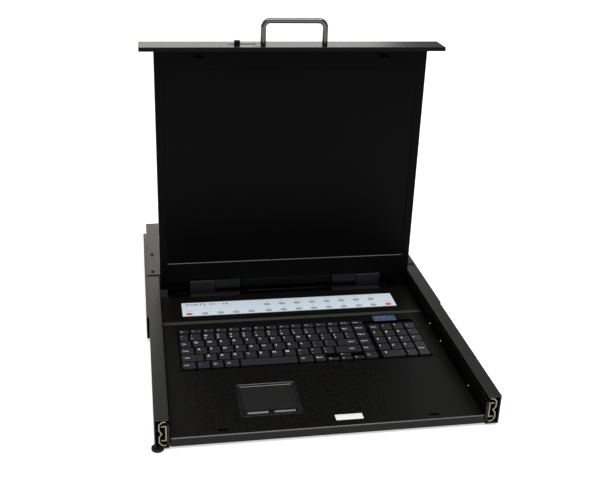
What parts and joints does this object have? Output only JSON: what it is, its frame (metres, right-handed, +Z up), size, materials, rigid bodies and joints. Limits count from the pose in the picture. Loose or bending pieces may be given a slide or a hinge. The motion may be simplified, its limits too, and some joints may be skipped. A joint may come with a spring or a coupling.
{
  "type": "rack console drawer with ip kvm switch",
  "caption": "Black rack drawer on ball slides with a flip-up screen lid, pull handle, keyboard, touchpad, port keypad and a rear switch box with computer sockets.",
  "frame": {"origin": "middle of the bounding box's footprint, on the surface that the feet stand on", "axes": "+X to the right seen from the front, -Y towards the user (the drawer pulls out to -Y), +Z up"},
  "size_m": [0.452, 0.6202, 0.4583],
  "materials": {
    "black_powder_coat": "fine textured black powder coat on sheet steel",
    "black_moulded_plastic": "moulded black plastic with a fine grain",
    "black_key_plastic": "satin black key caps",
    "black_gloss_plastic": "glossy black plastic",
    "black_anodised_aluminium": "black satin anodised",
    "zinc_plated_steel": "bright zinc plated rolled steel",
    "polished_steel": "ground steel pin",
    "nickel_plated_shell": "nickel plated pressed shell",
    "black_rubber": "matt black rubber",
    "dark_screen_glass": "dark anti-glare screen glass, switched off",
    "green_circuit_board": "green circuit board laminate",
    "folded_aluminium": "plain folded aluminium",
    "white_overlay_film": "printed white overlay film",
    "grey_silicone": "grey button keypad",
    "red_silicone": "red button keypad"
  },
  "bodies": {
    "rails": {"rail_left": "black_powder_coat", "rail_right": "black_powder_coat", "rear_rails": "black_powder_coat", "slide_outer_left": "zinc_plated_steel", "slide_outer_right": "zinc_plated_steel", "bracket_sleeves": "black_powder_coat", "tie_plate": "black_powder_coat", "rail_screws": "zinc_plated_steel", "rubber_feet": "black_rubber"},
    "ball_cage_left": {"ball_cage_left": "zinc_plated_steel"},
    "ball_cage_right": {"ball_cage_right": "zinc_plated_steel"},
    "drawer": {"tray": "black_powder_coat", "bottom_pan": "black_powder_coat", "drawer_side_left": "black_powder_coat", "drawer_side_right": "black_powder_coat", "slide_inner_left": "zinc_plated_steel", "slide_inner_right": "zinc_plated_steel", "side_screws": "zinc_plated_steel", "rear_deck": "black_powder_coat", "port_strip": "white_overlay_film", "button_board": "green_circuit_board", "keyboard_base": "black_moulded_plastic", "touchpad_frame": "black_moulded_plastic", "touch_surface": "black_moulded_plastic", "hinge_base_left": "black_powder_coat", "hinge_base_right": "black_powder_coat", "hinge_pins": "polished_steel", "switch_case": "black_powder_coat", "switch_cover": "black_powder_coat", "switch_board": "green_circuit_board", "power_supply": "folded_aluminium", "pc_ports": "nickel_plated_shell", "lan_port": "zinc_plated_steel", "power_inlet": "black_moulded_plastic"},
    "lid": {"lid_back": "black_powder_coat", "lid_bezel": "black_moulded_plastic", "lcd_glass": "dark_screen_glass", "lcd_module": "black_moulded_plastic", "display_board": "green_circuit_board", "front_panel": "black_anodised_aluminium", "pull_handle": "black_anodised_aluminium", "panel_screws": "zinc_plated_steel", "hinge_leaf_left": "black_powder_coat", "hinge_leaf_right": "black_powder_coat"},
    "latch": {"latch_bar": "zinc_plated_steel", "latch_knob": "black_moulded_plastic"},
    "power_rocker": {"power_rocker": "black_gloss_plastic"},
    "touchpad_button_left": {"touchpad_button_left": "black_gloss_plastic"},
    "touchpad_button_right": {"touchpad_button_right": "black_gloss_plastic"},
    "function_keys": {"function_keys": "black_key_plastic"},
    "number_keys": {"number_keys": "black_key_plastic"},
    "upper_letter_keys": {"upper_letter_keys": "black_key_plastic"},
    "home_letter_keys": {"home_letter_keys": "black_key_plastic"},
    "lower_letter_keys": {"lower_letter_keys": "black_key_plastic"},
    "bottom_keys": {"bottom_keys": "black_key_plastic"},
    "space_bar": {"space_bar": "black_key_plastic"},
    "numpad_keys": {"numpad_keys": "black_key_plastic"},
    "port_buttons": {"port_buttons": "grey_silicone"},
    "menu_buttons": {"menu_buttons": "grey_silicone"},
    "power_buttons": {"power_buttons": "red_silicone"}
  },
  "joints": [
    {"name": "drawer_slide", "type": "slide", "parent": "rails", "child": "drawer", "axis": [0, -1, 0], "range_m": [0, 0.4]},
    {"name": "cage_left_slide", "type": "slide", "parent": "rails", "child": "ball_cage_left", "axis": [0, -1, 0], "range_m": [0, 0.2]},
    {"name": "cage_right_slide", "type": "slide", "parent": "rails", "child": "ball_cage_right", "axis": [0, -1, 0], "range_m": [0, 0.2]},
    {"name": "lid_hinge", "type": "hinge", "parent": "drawer", "child": "lid", "pos_m": [0, 0.0748, 0.0332], "axis": [1, 0, 0], "range_deg": [-15, 90]},
    {"name": "latch_slide", "type": "slide", "parent": "lid", "child": "latch", "axis": [1, 0, 0], "range_m": [0, 0.008]},
    {"name": "power_rocker_hinge", "type": "hinge", "parent": "drawer", "child": "power_rocker", "pos_m": [0.1685, 0.2932, 0.02455], "axis": [1, 0, 0], "range_deg": [0, 16]},
    {"name": "touchpad_button_left_press", "type": "slide", "parent": "drawer", "child": "touchpad_button_left", "axis": [0, 0, -1], "range_m": [0, 0.0008], "stiffness_N_per_m": 800, "springref_m": -0.0006},
    {"name": "touchpad_button_right_press", "type": "slide", "parent": "drawer", "child": "touchpad_button_right", "axis": [0, 0, -1], "range_m": [0, 0.0008], "stiffness_N_per_m": 800, "springref_m": -0.0006},
    {"name": "function_keys_press", "type": "slide", "parent": "drawer", "child": "function_keys", "axis": [0, 0, -1], "range_m": [0, 0.002], "stiffness_N_per_m": 600, "springref_m": -0.0012},
    {"name": "number_keys_press", "type": "slide", "parent": "drawer", "child": "number_keys", "axis": [0, 0, -1], "range_m": [0, 0.002], "stiffness_N_per_m": 600, "springref_m": -0.0012},
    {"name": "upper_letter_keys_press", "type": "slide", "parent": "drawer", "child": "upper_letter_keys", "axis": [0, 0, -1], "range_m": [0, 0.002], "stiffness_N_per_m": 600, "springref_m": -0.0012},
    {"name": "home_letter_keys_press", "type": "slide", "parent": "drawer", "child": "home_letter_keys", "axis": [0, 0, -1], "range_m": [0, 0.002], "stiffness_N_per_m": 600, "springref_m": -0.0012},
    {"name": "lower_letter_keys_press", "type": "slide", "parent": "drawer", "child": "lower_letter_keys", "axis": [0, 0, -1], "range_m": [0, 0.002], "stiffness_N_per_m": 600, "springref_m": -0.0012},
    {"name": "bottom_keys_press", "type": "slide", "parent": "drawer", "child": "bottom_keys", "axis": [0, 0, -1], "range_m": [0, 0.002], "stiffness_N_per_m": 600, "springref_m": -0.0012},
    {"name": "space_bar_press", "type": "slide", "parent": "drawer", "child": "space_bar", "axis": [0, 0, -1], "range_m": [0, 0.002], "stiffness_N_per_m": 600, "springref_m": -0.0012},
    {"name": "numpad_keys_press", "type": "slide", "parent": "drawer", "child": "numpad_keys", "axis": [0, 0, -1], "range_m": [0, 0.002], "stiffness_N_per_m": 600, "springref_m": -0.0012},
    {"name": "port_buttons_press", "type": "slide", "parent": "drawer", "child": "port_buttons", "axis": [0, 0, -1], "range_m": [0, 0.00035], "stiffness_N_per_m": 1500, "springref_m": -0.0004},
    {"name": "menu_buttons_press", "type": "slide", "parent": "drawer", "child": "menu_buttons", "axis": [0, 0, -1], "range_m": [0, 0.00035], "stiffness_N_per_m": 1500, "springref_m": -0.0004},
    {"name": "power_buttons_press", "type": "slide", "parent": "drawer", "child": "power_buttons", "axis": [0, 0, -1], "range_m": [0, 0.00035], "stiffness_N_per_m": 1500, "springref_m": -0.0004}
  ],
  "couplings": [
    {"joint": "cage_left_slide", "follows": "drawer_slide", "ratio": 0.5},
    {"joint": "cage_right_slide", "follows": "drawer_slide", "ratio": 0.5}
  ]
}
